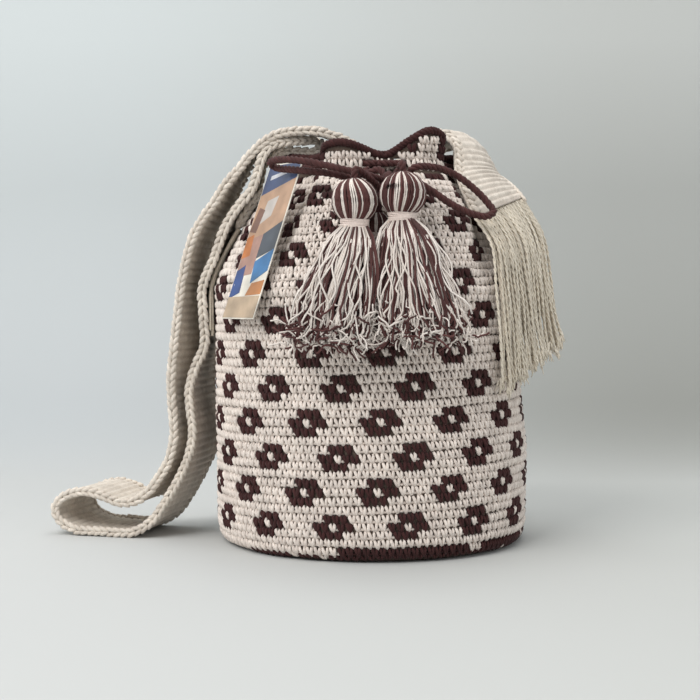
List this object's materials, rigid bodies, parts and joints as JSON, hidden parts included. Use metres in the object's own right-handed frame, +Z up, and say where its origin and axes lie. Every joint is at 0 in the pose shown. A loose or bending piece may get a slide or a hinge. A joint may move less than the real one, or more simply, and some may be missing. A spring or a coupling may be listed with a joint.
{
  "type": "crochet drawstring bag",
  "caption": "Crocheted bucket bag with a gathered drawstring neck, yarn tassels, a fringed shoulder strap and a hang tag.",
  "frame": {"origin": "centre of the flat base, on the floor", "axes": "+Z up; the front with the bow and tassels faces -Y; the strap's free loop lies towards -X"},
  "size_m": [0.3471, 0.2334, 0.2775],
  "materials": {
    "cream_yarn": "matte crocheted yarn with brown blocks",
    "strap_yarn": "matte ribbed yarn",
    "twisted_cord": "slightly shiny twisted cord",
    "tassel_yarn": "matte mixed yarn",
    "printed_card": "satin printed card"
  },
  "bodies": {
    "root": {"bag_body": "cream_yarn", "drawstring": "twisted_cord", "bow_knot": "twisted_cord", "drawstring_end_left": "twisted_cord", "drawstring_end_right": "twisted_cord", "bow_loop_left": "twisted_cord", "bow_loop_right": "twisted_cord", "tassel_left": "tassel_yarn", "tassel_left_binding": "cream_yarn", "tassel_left_cord": "twisted_cord", "tassel_right": "tassel_yarn", "tassel_right_binding": "cream_yarn", "tassel_right_cord": "twisted_cord", "tassel_rear": "tassel_yarn", "tassel_rear_binding": "cream_yarn", "tassel_rear_cord": "twisted_cord", "strap": "strap_yarn", "fringe_right": "strap_yarn", "fringe_left": "strap_yarn", "hang_tag": "printed_card"}
  },
  "joints": []
}
